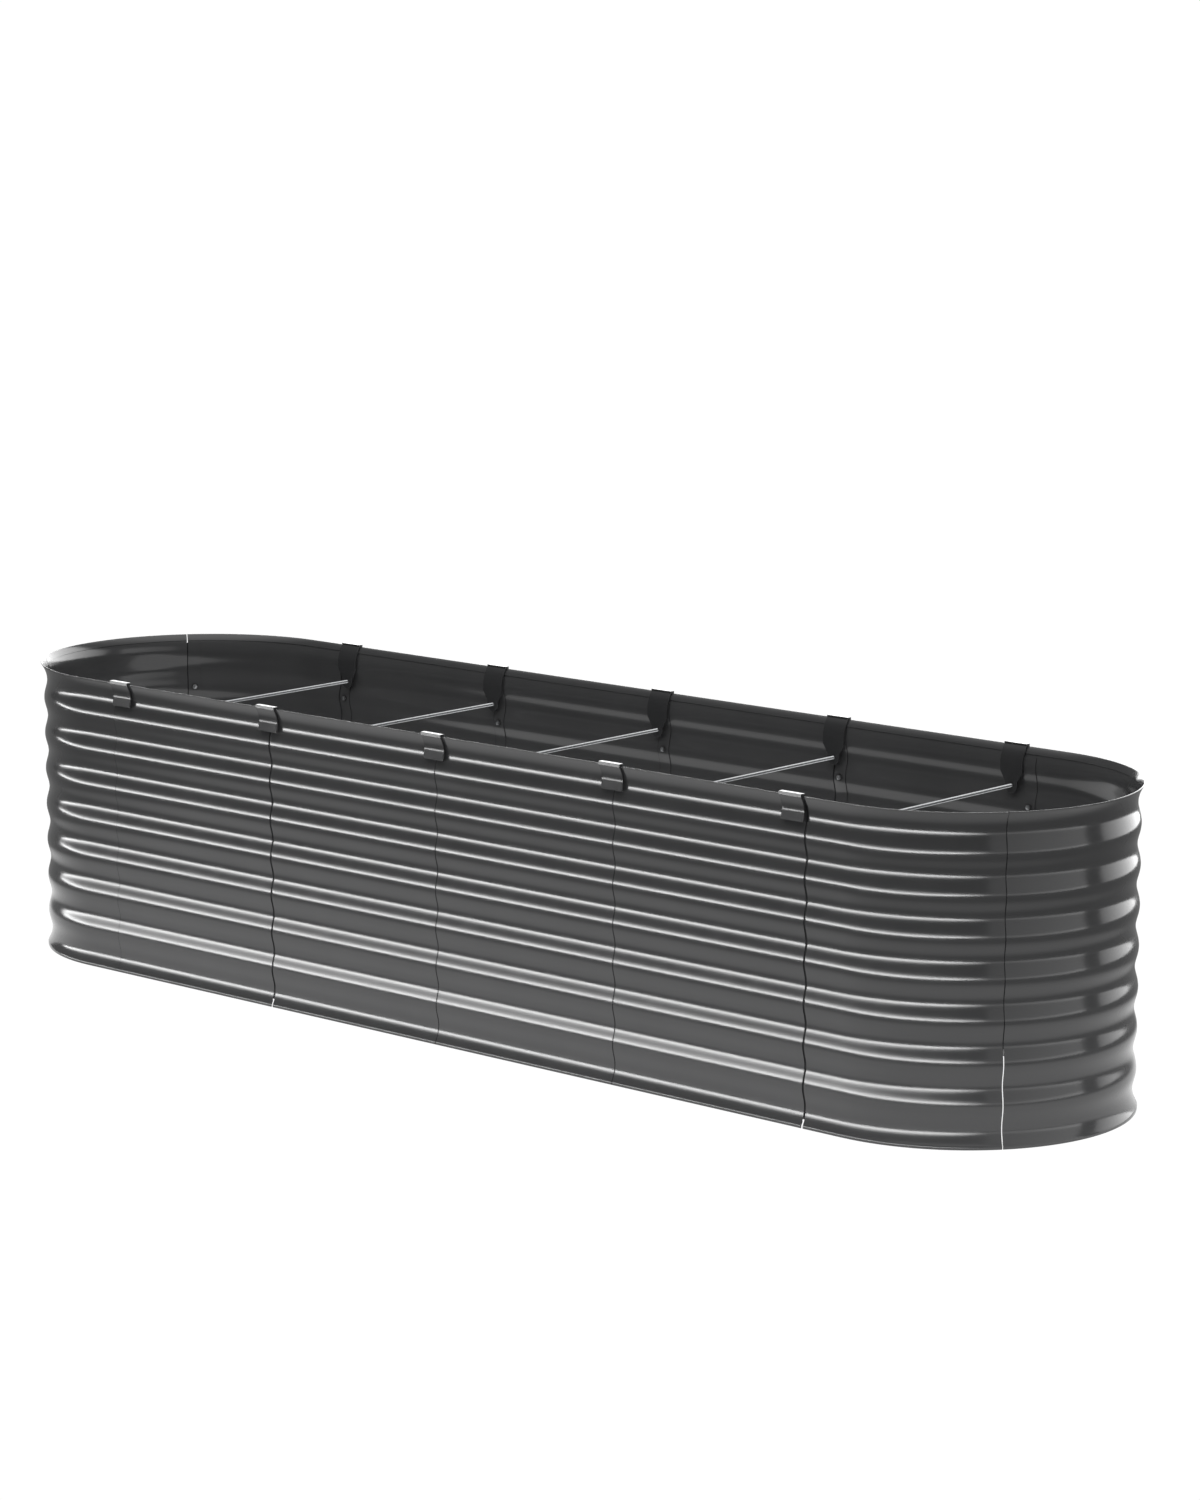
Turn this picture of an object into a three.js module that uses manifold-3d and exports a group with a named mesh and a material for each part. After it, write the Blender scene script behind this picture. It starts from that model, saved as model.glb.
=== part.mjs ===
// Raised garden bed: an open oval ring of horizontally ribbed, coated steel panels.
//
// Fourteen panels go round the bed, each lapped behind the end of the one before it. Strap hooks
// grip the rim in pairs, and a threaded tie rod with a thin nut on each end holds each pair
// together, so that the soil cannot push the long sides apart.
//
// Millimetres. +X along the bed, -Y the front, +Z up. The origin is on the ground, at the middle
// of the footprint.

import * as THREE from 'three';
import { mergeVertices, toCreasedNormals } from 'three/addons/utils/BufferGeometryUtils.js';
import Module from 'manifold-3d';

// Overall sizes, over the rim.
const BED_LENGTH = 2438;
const BED_WIDTH = 608;
const BED_HEIGHT = 552;

// Ribbed sheet.
const SHEET = 0.8;
const WAVE_COUNT = 8;
const RIB_DEPTH = 6.2;
const RIB_FLAT = 14;
const RIM_FLARE = 5;
const FOOT_FLARE = 2.6;
const HEM_HEIGHT = 12;
const HEM_THICKNESS = 2;

// Panels and their lapped seams. At the round ends the laps start higher up, and light shows
// through the joggle below them.
const SIDE_PANELS = 4;
const CORNER_STUB = 85;
const END_SEAM_ANGLE = THREE.MathUtils.degToRad(52);
const LAP = 25;
const LAP_GAP = 0.4;
const LAP_NOTCH = 2;
const END_LAP_HEIGHT = 160;
const JOGGLE = 3;
const LAND_MARGIN = 5;
const CORNER_STEPS = 3;
const END_STEPS = 6;

// Strap hooks on the rim. The outer leg stands off the sheet at its bend, and its end kicks out.
const HOOK_WIDTH = 47;
const HOOK_THICKNESS = 3.5;
const HOOK_DROP = 44;
const HOOK_GAP = 0.4;
const HOOK_BEND = 1;
const LEG_BEND_DROP = 27;
const LEG_STANDOFF = 2.7;
const LEG_KICK = 3.5;
const LEG_STEPS = 3;
const TONGUE_WIDTH = 26;

// How far a cutting outline runs past what it cuts.
const CUT_MARGIN = 1;

// Tie rods and their nuts.
const ROD_DIAMETER = 6;
const ROD_CLEARANCE = 0.3;
const ROD_PROUD = 1;
const NUT_FLATS = 10;
const NUT_THICKNESS = 3.2;
const NUT_SEAT = 0.3;
const ROUND_SIDES = 8;

// Worked out from the sizes above.
const WAVE_PITCH = BED_HEIGHT / WAVE_COUNT;
const STRAIGHT = BED_LENGTH - BED_WIDTH;
const CREST_RADIUS = BED_WIDTH / 2 - RIM_FLARE;
const SIDE_PITCH = (STRAIGHT - 2 * CORNER_STUB) / SIDE_PANELS;
const LAP_INSET = SHEET + LAP_GAP;
const WALL_DEPTH = Math.max(HEM_THICKNESS, LAP_INSET + SHEET);
const LAND_ANGLE = Math.asin((LAP + LAND_MARGIN) / CREST_RADIUS);
const ROD_HEIGHT = BED_HEIGHT - WAVE_PITCH;
const TONGUE_FACE = -RIB_DEPTH - WALL_DEPTH - HOOK_GAP;
const NUT_FACE = TONGUE_FACE + NUT_SEAT;
const ROD_LENGTH = 2 * (CREST_RADIUS + NUT_FACE + NUT_THICKNESS + ROD_PROUD);

const wasm = await Module();
wasm.setup();

const panelMaterial = new THREE.MeshStandardMaterial({
  name: 'coated_sheet',
  color: 0x4a4b4d,
  roughness: 0.38,
  metalness: 0.55,
});
const hookMaterial = new THREE.MeshStandardMaterial({
  name: 'coated_strap',
  color: 0x3c3d3f,
  roughness: 0.42,
  metalness: 0.5,
});
const zincMaterial = new THREE.MeshStandardMaterial({
  name: 'zinc_plate',
  color: 0xb4b7ba,
  roughness: 0.35,
  metalness: 0.9,
});

// ---------------------------------------------------------------------------------------------
// The sheet's section. `out` is how far its outer face stands outside the rib crests.

const FOOT_TOP = WAVE_PITCH / 2 - RIB_FLAT / 2;
const LIP_FOOT = BED_HEIGHT - FOOT_TOP;

function footOut(z) {
  const rise = (1 + Math.cos((Math.PI * z) / FOOT_TOP)) / 2;
  return -RIB_DEPTH + (RIB_DEPTH + FOOT_FLARE) * rise;
}

function lipOut(z) {
  const climb = (z - LIP_FOOT) / (BED_HEIGHT - LIP_FOOT);
  return -RIB_DEPTH + (RIB_DEPTH + RIM_FLARE) * climb * climb;
}

// Valleys and crests take turns up the sheet, half a wave apart, each with a short flat.
function ribLevels() {
  const levels = [];
  for (let half = 1; half < 2 * WAVE_COUNT; half += 1) {
    const middle = (half * WAVE_PITCH) / 2;
    const out = half % 2 === 1 ? -RIB_DEPTH : 0;
    levels.push({ z: middle - RIB_FLAT / 2, out });
    levels.push({ z: middle + RIB_FLAT / 2, out });
  }
  return levels;
}

function sheetLevels() {
  const footZ = [0, HEM_HEIGHT, HEM_HEIGHT + LAP_NOTCH];
  const lipZ = footZ.map((z) => BED_HEIGHT - z).reverse();
  return [
    ...footZ.map((z) => ({ z, out: footOut(z) })),
    ...ribLevels(),
    ...lipZ.map((z) => ({ z, out: lipOut(z) })),
  ];
}

const LEVELS = sheetLevels();
const LAP_FIRST = 2;
const LAP_LAST = LEVELS.length - 3;
const END_LAP_FIRST = LEVELS.findIndex(({ z }) => z >= END_LAP_HEIGHT);

// Closed outline of the sheet between two levels: up its outer face, then down its inner face.
// The folded hems at the foot and the rim are thicker, on the inner side.
function sheetOutline(first, last) {
  const outer = [];
  const inner = [];
  for (let i = first; i <= last; i += 1) {
    const { z, out } = LEVELS[i];
    outer.push([out, z]);
    const hemmed = z <= HEM_HEIGHT || z >= BED_HEIGHT - HEM_HEIGHT;
    const atHemEdge = z === HEM_HEIGHT || z === BED_HEIGHT - HEM_HEIGHT;
    const hemPoint = [out - HEM_THICKNESS, z];
    const sheetPoint = [out - SHEET, z];
    if (!hemmed) {
      inner.push(sheetPoint);
    } else if (!atHemEdge) {
      inner.push(hemPoint);
    } else if (z < BED_HEIGHT / 2) {
      inner.push(hemPoint, sheetPoint);
    } else {
      inner.push(sheetPoint, hemPoint);
    }
  }
  return [...outer, ...inner.reverse()];
}

const FULL_OUTLINE = sheetOutline(0, LEVELS.length - 1);
const RIM_OUTLINE = sheetOutline(LAP_LAST, LEVELS.length - 1);

// ---------------------------------------------------------------------------------------------
// Stations of a panel along the crest line, seen from above: a point and its outward direction.

function sideStation(x) {
  return { x, y: -CREST_RADIUS, nx: 0, ny: -1 };
}

function backStation(x) {
  return { x, y: CREST_RADIUS, nx: 0, ny: 1 };
}

// Angle 0 is where the front side meets the right end, and PI where that end meets the back.
function endStation(angle) {
  const nx = Math.sin(angle);
  const ny = -Math.cos(angle);
  return { x: STRAIGHT / 2 + CREST_RADIUS * nx, y: CREST_RADIUS * ny, nx, ny };
}

function between(a, b, share) {
  return {
    x: THREE.MathUtils.lerp(a.x, b.x, share),
    y: THREE.MathUtils.lerp(a.y, b.y, share),
    nx: THREE.MathUtils.lerp(a.nx, b.nx, share),
    ny: THREE.MathUtils.lerp(a.ny, b.ny, share),
  };
}

// A station on the line from a through b, at this many millimetres from a.
function towards(a, b, distance) {
  return between(a, b, distance / Math.hypot(b.x - a.x, b.y - a.y));
}

function arcStations(from, to, steps) {
  const stations = [];
  for (let i = 0; i <= steps; i += 1) {
    stations.push(endStation(THREE.MathUtils.lerp(from, to, i / steps)));
  }
  return stations;
}

// Each end seam lies in the middle of a flat land, so that the two sheets nest.
function landAround(angle) {
  const before = endStation(angle - LAND_ANGLE);
  const after = endStation(angle + LAND_ANGLE);
  return { before, after, seam: between(before, after, 0.5) };
}

const NEAR_LAND = landAround(END_SEAM_ANGLE);
const FAR_LAND = landAround(Math.PI - END_SEAM_ANGLE);

// ---------------------------------------------------------------------------------------------
// A panel: the sheet swept along its stations, with a joggled lap at its first end.

function place(outline, station, inset) {
  return outline.map(([out, z]) => {
    const reach = out - inset;
    return new THREE.Vector3(station.x + reach * station.nx, station.y + reach * station.ny, z);
  });
}

function addTriangle(positions, a, b, c) {
  positions.push(a.x, a.y, a.z, b.x, b.y, b.z, c.x, c.y, c.z);
}

function addWall(positions, ringA, ringB) {
  for (let i = 0; i < ringA.length; i += 1) {
    const j = (i + 1) % ringA.length;
    addTriangle(positions, ringA[i], ringB[i], ringB[j]);
    addTriangle(positions, ringA[i], ringB[j], ringA[j]);
  }
}

function addCap(positions, outline, ring, facesBack) {
  const flat = outline.map(([out, z]) => new THREE.Vector2(out, z));
  for (const [a, b, c] of THREE.ShapeUtils.triangulateShape(flat, [])) {
    if (facesBack) {
      addTriangle(positions, ring[a], ring[b], ring[c]);
    } else {
      addTriangle(positions, ring[a], ring[c], ring[b]);
    }
  }
}

function closedGeometry(positions) {
  const geometry = new THREE.BufferGeometry();
  geometry.setAttribute('position', new THREE.Float32BufferAttribute(positions, 3));
  return toCreasedNormals(mergeVertices(geometry, 1e-3), THREE.MathUtils.degToRad(12));
}

// lapTip and seam are the ends of the lap, flush is where the joggle has brought the sheet level
// with its neighbour, and rest are the stations after that. lapFirst is the lap's lowest level.
function panelGeometry(lapFirst, lapTip, seam, flush, rest) {
  const positions = [];
  const lapOutline = sheetOutline(lapFirst, LAP_LAST);
  const footOutline = sheetOutline(0, lapFirst);
  const lapRings = [
    place(lapOutline, lapTip, LAP_INSET),
    place(lapOutline, seam, LAP_INSET),
    place(lapOutline, flush, 0),
  ];
  addCap(positions, lapOutline, lapRings[0], true);
  addWall(positions, lapRings[0], lapRings[1]);
  addWall(positions, lapRings[1], lapRings[2]);
  addCap(positions, footOutline, place(footOutline, flush, 0), true);
  addCap(positions, RIM_OUTLINE, place(RIM_OUTLINE, flush, 0), true);
  const bodyRings = [flush, ...rest].map((station) => place(FULL_OUTLINE, station, 0));
  for (let i = 1; i < bodyRings.length; i += 1) {
    addWall(positions, bodyRings[i - 1], bodyRings[i]);
  }
  addCap(positions, FULL_OUTLINE, bodyRings[bodyRings.length - 1], false);
  return closedGeometry(positions);
}

function sidePanelGeometry() {
  return panelGeometry(
    LAP_FIRST,
    sideStation(-LAP),
    sideStation(0),
    sideStation(JOGGLE),
    [sideStation(SIDE_PITCH)],
  );
}

function frontCornerGeometry() {
  const start = STRAIGHT / 2 - CORNER_STUB;
  return panelGeometry(
    LAP_FIRST,
    sideStation(start - LAP),
    sideStation(start),
    sideStation(start + JOGGLE),
    [...arcStations(0, END_SEAM_ANGLE - LAND_ANGLE, CORNER_STEPS), NEAR_LAND.seam],
  );
}

function endPanelGeometry() {
  const from = END_SEAM_ANGLE + LAND_ANGLE;
  return panelGeometry(
    END_LAP_FIRST,
    towards(NEAR_LAND.seam, NEAR_LAND.before, LAP),
    NEAR_LAND.seam,
    towards(NEAR_LAND.seam, NEAR_LAND.after, JOGGLE),
    [...arcStations(from, Math.PI - from, END_STEPS), FAR_LAND.seam],
  );
}

function backCornerGeometry() {
  const finish = STRAIGHT / 2 - CORNER_STUB;
  const from = Math.PI - END_SEAM_ANGLE + LAND_ANGLE;
  return panelGeometry(
    END_LAP_FIRST,
    towards(FAR_LAND.seam, FAR_LAND.before, LAP),
    FAR_LAND.seam,
    towards(FAR_LAND.seam, FAR_LAND.after, JOGGLE),
    [...arcStations(from, Math.PI, CORNER_STEPS), backStation(finish)],
  );
}

// ---------------------------------------------------------------------------------------------
// Booleans.

function toSolid(geometry) {
  const bare = geometry.clone();
  bare.deleteAttribute('normal');
  bare.deleteAttribute('uv');
  const merged = mergeVertices(bare, 1e-4);
  const mesh = new wasm.Mesh({
    numProp: 3,
    vertProperties: new Float32Array(merged.attributes.position.array),
    triVerts: new Uint32Array(merged.index.array),
  });
  return new wasm.Manifold(mesh);
}

function fromSolid(solid) {
  const { vertProperties, triVerts } = solid.getMesh();
  const geometry = new THREE.BufferGeometry();
  geometry.setAttribute('position', new THREE.BufferAttribute(vertProperties, 3));
  geometry.setIndex(new THREE.BufferAttribute(triVerts, 1));
  return toCreasedNormals(geometry, THREE.MathUtils.degToRad(12));
}

// ---------------------------------------------------------------------------------------------
// Strap hook: its own frame has x along the rim, -y outwards from the rib crests and z up.

// Inner face of the outer leg, from its kicked-out end past the bend and up the lip to the rim.
function legLevels() {
  const bendOut = -RIB_DEPTH + LEG_STANDOFF;
  const swing = RIM_FLARE + HOOK_GAP - bendOut;
  const levels = [{ z: BED_HEIGHT - HOOK_DROP, out: bendOut + LEG_KICK }];
  for (let i = 0; i <= LEG_STEPS; i += 1) {
    const climb = i / LEG_STEPS;
    levels.push({
      z: BED_HEIGHT - LEG_BEND_DROP * (1 - climb),
      out: bendOut + swing * climb * climb,
    });
  }
  return levels;
}

function hookProfile() {
  const outer = legLevels();
  const inner = LEVELS.filter((level) => level.z >= LIP_FOOT).reverse();
  const top = BED_HEIGHT + HOOK_GAP + HOOK_THICKNESS;
  const foot = ROD_HEIGHT - TONGUE_WIDTH / 2;
  const outerFace = RIM_FLARE + HOOK_GAP + HOOK_THICKNESS;
  const innerNear = WALL_DEPTH + HOOK_GAP;
  const innerFar = innerNear + HOOK_THICKNESS;
  return [
    ...outer.map(({ z, out }) => [out + HOOK_THICKNESS, z]),
    [outerFace, top - HOOK_BEND],
    [outerFace - HOOK_BEND, top],
    [RIM_FLARE - innerFar + HOOK_BEND, top],
    [RIM_FLARE - innerFar, top - HOOK_BEND],
    ...inner.map(({ z, out }) => [out - innerFar, z]),
    [TONGUE_FACE - HOOK_THICKNESS, foot],
    [TONGUE_FACE, foot],
    ...inner.map(({ z, out }) => [out - innerNear, z]).reverse(),
    [RIM_FLARE - innerNear, BED_HEIGHT + HOOK_GAP],
    [RIM_FLARE + HOOK_GAP, BED_HEIGHT + HOOK_GAP],
    ...outer.map(({ z, out }) => [out, z]).reverse(),
  ];
}

// The strap narrows below the rim to a round-ended tongue with the rod's hole in it.
function hookFront() {
  const half = HOOK_WIDTH / 2;
  const tongue = TONGUE_WIDTH / 2;
  const shoulder = BED_HEIGHT - HOOK_DROP - CUT_MARGIN;
  const over = BED_HEIGHT + WAVE_PITCH;
  const front = new THREE.Shape();
  front.moveTo(-half, over);
  front.lineTo(-half, shoulder);
  front.lineTo(-tongue, ROD_HEIGHT + tongue / 2);
  front.lineTo(-tongue, ROD_HEIGHT);
  front.absarc(0, ROD_HEIGHT, tongue, Math.PI, 2 * Math.PI, false);
  front.lineTo(tongue, ROD_HEIGHT + tongue / 2);
  front.lineTo(half, shoulder);
  front.lineTo(half, over);
  front.closePath();
  const hole = new THREE.Path();
  hole.absarc(0, ROD_HEIGHT, ROD_DIAMETER / 2 + ROD_CLEARANCE, 0, 2 * Math.PI, true);
  front.holes.push(hole);
  return front;
}

function hookGeometry() {
  const profile = new THREE.Shape(hookProfile().map(([out, z]) => new THREE.Vector2(out, z)));
  const strap = new THREE.ExtrudeGeometry(profile, {
    depth: HOOK_WIDTH + 2 * CUT_MARGIN,
    bevelEnabled: false,
  });
  strap.translate(0, 0, -HOOK_WIDTH / 2 - CUT_MARGIN);
  // Profile (out, z) along x becomes -y, z with the width along x.
  strap.applyMatrix4(new THREE.Matrix4().makeBasis(
    new THREE.Vector3(0, -1, 0),
    new THREE.Vector3(0, 0, 1),
    new THREE.Vector3(-1, 0, 0),
  ));
  const reach = 2 * (RIB_DEPTH + RIM_FLARE + WALL_DEPTH + HOOK_THICKNESS + HOOK_GAP);
  const front = new THREE.ExtrudeGeometry(hookFront(), {
    depth: 2 * reach,
    bevelEnabled: false,
    curveSegments: ROUND_SIDES / 2,
  });
  front.translate(0, 0, -reach);
  front.rotateX(Math.PI / 2);
  return fromSolid(toSolid(strap).intersect(toSolid(front)));
}

// ---------------------------------------------------------------------------------------------
// Tie rod and nut.

function rodGeometry() {
  return new THREE.CylinderGeometry(ROD_DIAMETER / 2, ROD_DIAMETER / 2, ROD_LENGTH, ROUND_SIDES);
}

function nutGeometry() {
  const across = NUT_FLATS / Math.sqrt(3);
  const corners = [];
  for (let i = 0; i < 6; i += 1) {
    const angle = (i * Math.PI) / 3;
    corners.push(new THREE.Vector2(across * Math.cos(angle), across * Math.sin(angle)));
  }
  const outline = new THREE.Shape(corners);
  const bore = new THREE.Path();
  bore.absarc(0, 0, ROD_DIAMETER / 2 + ROD_CLEARANCE, 0, 2 * Math.PI, true);
  outline.holes.push(bore);
  const nut = new THREE.ExtrudeGeometry(outline, {
    depth: NUT_THICKNESS,
    bevelEnabled: false,
    curveSegments: ROUND_SIDES / 2,
  });
  return nut.rotateX(Math.PI / 2);
}

// ---------------------------------------------------------------------------------------------
// The bed.

function part(name, geometry, material) {
  const mesh = new THREE.Mesh(geometry, material);
  mesh.name = name;
  return mesh;
}

// Half the ring: one long side, and the end to its right. A half turn about Z makes the other.
function panelHalf(side, end, corners) {
  const half = new THREE.Group();
  const sidePanel = sidePanelGeometry();
  const first = -(SIDE_PANELS * SIDE_PITCH) / 2;
  for (let i = 0; i < SIDE_PANELS; i += 1) {
    const panel = part(`${side}_panel_${i + 1}`, sidePanel, panelMaterial);
    panel.position.x = first + i * SIDE_PITCH;
    half.add(panel);
  }
  half.add(part(corners[0], frontCornerGeometry(), panelMaterial));
  half.add(part(`${end}_end_panel`, endPanelGeometry(), panelMaterial));
  half.add(part(corners[1], backCornerGeometry(), panelMaterial));
  return half;
}

// Hooks sit over the side seams. The outermost pair lies just inside the last ones.
function tiePlaces() {
  const last = (SIDE_PANELS * SIDE_PITCH) / 2 - HOOK_WIDTH / 2;
  const places = [-last];
  for (let i = 1; i < SIDE_PANELS; i += 1) {
    places.push((i - SIDE_PANELS / 2) * SIDE_PITCH);
  }
  places.push(last);
  return places;
}

function hookAndNut(side, number, x, hook, nut) {
  const end = new THREE.Group();
  const strap = part(`${side}_hook_${number}`, hook, hookMaterial);
  strap.position.y = -CREST_RADIUS;
  end.add(strap);
  const fastener = part(`${side}_nut_${number}`, nut, zincMaterial);
  fastener.position.set(0, -CREST_RADIUS - NUT_FACE, ROD_HEIGHT);
  end.add(fastener);
  end.position.x = x;
  return end;
}

function ties() {
  const group = new THREE.Group();
  const hook = hookGeometry();
  const nut = nutGeometry();
  const rod = rodGeometry();
  tiePlaces().forEach((x, i) => {
    const front = hookAndNut('front', i + 1, x, hook, nut);
    const back = hookAndNut('back', i + 1, x, hook, nut);
    back.rotation.z = Math.PI;
    const tie = part(`tie_rod_${i + 1}`, rod, zincMaterial);
    tie.position.set(x, 0, ROD_HEIGHT);
    group.add(front, back, tie);
  });
  return group;
}

const bed = new THREE.Group();
bed.name = 'raised_garden_bed';
const frontHalf = panelHalf('front', 'right', ['right_front_corner', 'right_back_corner']);
const backHalf = panelHalf('back', 'left', ['left_back_corner', 'left_front_corner']);
backHalf.rotation.z = Math.PI;
bed.add(frontHalf, backHalf, ties());

export default bed;
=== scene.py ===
"""Looks of the raised garden bed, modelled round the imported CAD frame.

Metres, in the row frame: +X along the bed to its right end, -Y the front side, +Z up. The origin
is on the ground, at the middle of the footprint. Sheet sections are drawn in (out, z): `out` is
how far a point stands outside the line of the rib crests. Sizes in the classes are millimetres.
"""

import logging
import math
from collections.abc import Callable
from dataclasses import dataclass, field
from enum import Enum
from itertools import pairwise

import bmesh
import bpy
from mathutils import Matrix, Vector


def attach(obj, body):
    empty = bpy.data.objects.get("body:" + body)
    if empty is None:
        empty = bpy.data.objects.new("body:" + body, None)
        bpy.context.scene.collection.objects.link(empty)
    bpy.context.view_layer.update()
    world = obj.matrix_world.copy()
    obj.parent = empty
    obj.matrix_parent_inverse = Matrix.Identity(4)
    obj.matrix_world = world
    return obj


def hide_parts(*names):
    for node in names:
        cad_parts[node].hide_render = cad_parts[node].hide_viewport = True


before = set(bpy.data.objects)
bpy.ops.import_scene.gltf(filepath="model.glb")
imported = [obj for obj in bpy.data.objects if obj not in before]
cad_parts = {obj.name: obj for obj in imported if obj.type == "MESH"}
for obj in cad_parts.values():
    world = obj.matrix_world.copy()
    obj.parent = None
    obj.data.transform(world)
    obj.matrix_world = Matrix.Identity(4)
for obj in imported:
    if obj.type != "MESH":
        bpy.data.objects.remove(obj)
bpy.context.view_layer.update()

MM = 0.001
WELD = 1e-6  # Metres within which two vertices are merged.
HAIR = 0.01  # Millimetres within which two places count as one.
BODY = "root"
LOG = logging.getLogger("garden_bed")

Piece = bpy.types.Object
Material = bpy.types.Material
Socket = bpy.types.NodeSocket
Pair = tuple[float, float]
Triple = tuple[float, float, float]


class Slot(Enum):
    """Material slots of the bed's parts."""

    SHEET = "coated_sheet"
    STRAP = "coated_strap"
    ZINC = "zinc_plate"


class Side(Enum):
    """The two long sides of the bed."""

    FRONT = "front"
    BACK = "back"

    @property
    def turn(self) -> Matrix:
        """What brings the front side's pieces to this side."""
        return Matrix.Rotation(math.pi if self is Side.BACK else 0.0, 4, "Z")


def at(value: float, target: float, slack: float = HAIR) -> bool:
    """Whether a coordinate in metres lies at a number of millimetres."""
    return abs(value / MM - target) < slack


def shift(x: float, y: float = 0.0, z: float = 0.0) -> Matrix:
    """Move by so many millimetres."""
    return Matrix.Translation((x * MM, y * MM, z * MM))


def spaced(start: float, end: float, count: int) -> list[float]:
    """Values from a start to an end, both included, in so many equal steps."""
    return [start + (end - start) * i / count for i in range(count + 1)]


def clear_bench() -> None:
    """Go back to object mode with nothing selected."""
    if bpy.context.object and bpy.context.object.mode != "OBJECT":
        bpy.ops.object.mode_set(mode="OBJECT")
    bpy.ops.object.select_all(action="DESELECT")


def take(piece: Piece) -> None:
    """Make a piece the only selected and the active one.

    Args:
        piece: The piece to work on.
    """
    clear_bench()
    piece.select_set(True)
    bpy.context.view_layer.objects.active = piece


def settle(piece: Piece) -> Piece:
    """Put a piece's place, turn and scale into its mesh.

    Args:
        piece: The new piece.

    Returns:
        The same piece, its object at the origin.
    """
    take(piece)
    bpy.ops.object.transform_apply(location=True, rotation=True, scale=True)
    return piece


def pull(offset: Vector) -> None:
    """Extrude what is selected by an offset in metres."""
    bpy.ops.mesh.extrude_region_move(TRANSFORM_OT_translate={"value": offset})


def widen(x: float, y: float) -> None:
    """Scale what is selected in X and Y, about the Z axis."""
    bpy.ops.transform.resize(value=(x, y, 1), center_override=(0, 0, 0))


def draw_line(name: str, points: list[Vector]) -> Piece:
    """Draw a line of edges by extruding one vertex from point to point.

    Args:
        name: The new object's name.
        points: Where the line goes, in metres.

    Returns:
        The line's object, at the origin.
    """
    clear_bench()
    bpy.ops.mesh.primitive_plane_add(size=MM, location=points[0], enter_editmode=True)
    bpy.ops.mesh.merge(type="CENTER")
    for here, there in pairwise(points):
        pull(there - here)
    bpy.ops.object.mode_set(mode="OBJECT")
    line = bpy.context.object
    line.name = name
    return settle(line)


def cylinder(radius: float, height: float, sides: int, middle: Triple,
             turn: Triple = (0.0, 0.0, 0.0)) -> Piece:
    """Add a cylinder.

    Args:
        radius: Out to its corners, in millimetres.
        height: Along its own axis, in millimetres.
        sides: How many flats it has.
        middle: Where its middle lies, in millimetres.
        turn: How it is turned, in radians.

    Returns:
        The cylinder, its object at the origin.
    """
    clear_bench()
    bpy.ops.mesh.primitive_cylinder_add(vertices=sides, radius=radius * MM, depth=height * MM,
                                        location=Vector(middle) * MM, rotation=turn)
    return settle(bpy.context.object)


def pick(piece: Piece, test: Callable[[Vector], bool]) -> None:
    """Select the vertices that pass a test, and the edges and faces between them, in edit mode.

    Args:
        piece: The piece, which is left in edit mode.
        test: Says whether a vertex at this place is wanted.
    """
    if bpy.context.object is not piece or piece.mode != "EDIT":
        take(piece)
        bpy.ops.object.mode_set(mode="EDIT")
    bpy.ops.mesh.select_mode(type="VERT")
    bpy.ops.mesh.select_all(action="DESELECT")
    shape = bmesh.from_edit_mesh(piece.data)
    for vertex in shape.verts:
        vertex.select = test(vertex.co)
    shape.select_flush_mode()
    bmesh.update_edit_mesh(piece.data)


def clean_normals(piece: Piece, outwards: Callable[[Vector], Vector]) -> None:
    """Merge doubles and turn all faces of a sheet to its outer side.

    Args:
        piece: The piece.
        outwards: The outward direction at a place on the piece.
    """
    pick(piece, lambda place: True)
    bpy.ops.mesh.remove_doubles(threshold=WELD)
    bpy.ops.mesh.normals_make_consistent(inside=False)
    shape = bmesh.from_edit_mesh(piece.data)
    balance = sum(f.normal.dot(outwards(f.calc_center_median())) * f.calc_area() for f in shape.faces)
    if balance < 0:
        bpy.ops.mesh.flip_normals()
    bpy.ops.object.mode_set(mode="OBJECT")


def apply_modifier(piece: Piece, kind: str, **settings: object) -> None:
    """Add a modifier with these settings and apply it.

    Args:
        piece: The piece.
        kind: Blender's name of the modifier type.
        settings: The modifier's own settings.
    """
    take(piece)
    modifier = piece.modifiers.new(kind.lower(), kind)
    for key, value in settings.items():
        setattr(modifier, key, value)
    bpy.ops.object.modifier_apply(modifier=modifier.name)


def round_edges(piece: Piece, width: float, degrees: float, segments: int = 2) -> None:
    """Bevel edges sharper than an angle, with a width in millimetres."""
    apply_modifier(piece, "BEVEL", width=width * MM, segments=segments, limit_method="ANGLE",
                   angle_limit=math.radians(degrees))


def carve(piece: Piece, tool: Piece, kind: str = "DIFFERENCE") -> None:
    """Cut a piece with another one, which is used up."""
    apply_modifier(piece, "BOOLEAN", operation=kind, object=tool, solver="EXACT")
    discard(tool)


def smooth(piece: Piece, degrees: float) -> None:
    """Shade smooth, up to an angle between faces."""
    take(piece)
    bpy.ops.object.shade_smooth_by_angle(angle=math.radians(degrees))


def join_all(pieces: list[Piece]) -> Piece:
    """Join pieces into the first of them.

    Args:
        pieces: What is joined.

    Returns:
        The first piece, with the meshes of all.
    """
    take(pieces[0])
    for piece in pieces[1:]:
        piece.select_set(True)
    bpy.ops.object.join()
    return pieces[0]


def copy_of(piece: Piece, name: str, place: Matrix) -> Piece:
    """Copy a piece with a mesh of its own, put in place in that mesh.

    Args:
        piece: The pattern piece.
        name: The copy's name.
        place: Where the copy goes.

    Returns:
        The copy.
    """
    copy = piece.copy()
    copy.data = piece.data.copy()
    copy.data.transform(place)
    copy.name = name
    copy.data.name = name
    bpy.context.collection.objects.link(copy)
    return copy


def discard(*pieces: Piece) -> None:
    """Remove tools and pattern pieces from the scene."""
    for piece in pieces:
        bpy.data.objects.remove(piece)


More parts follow.
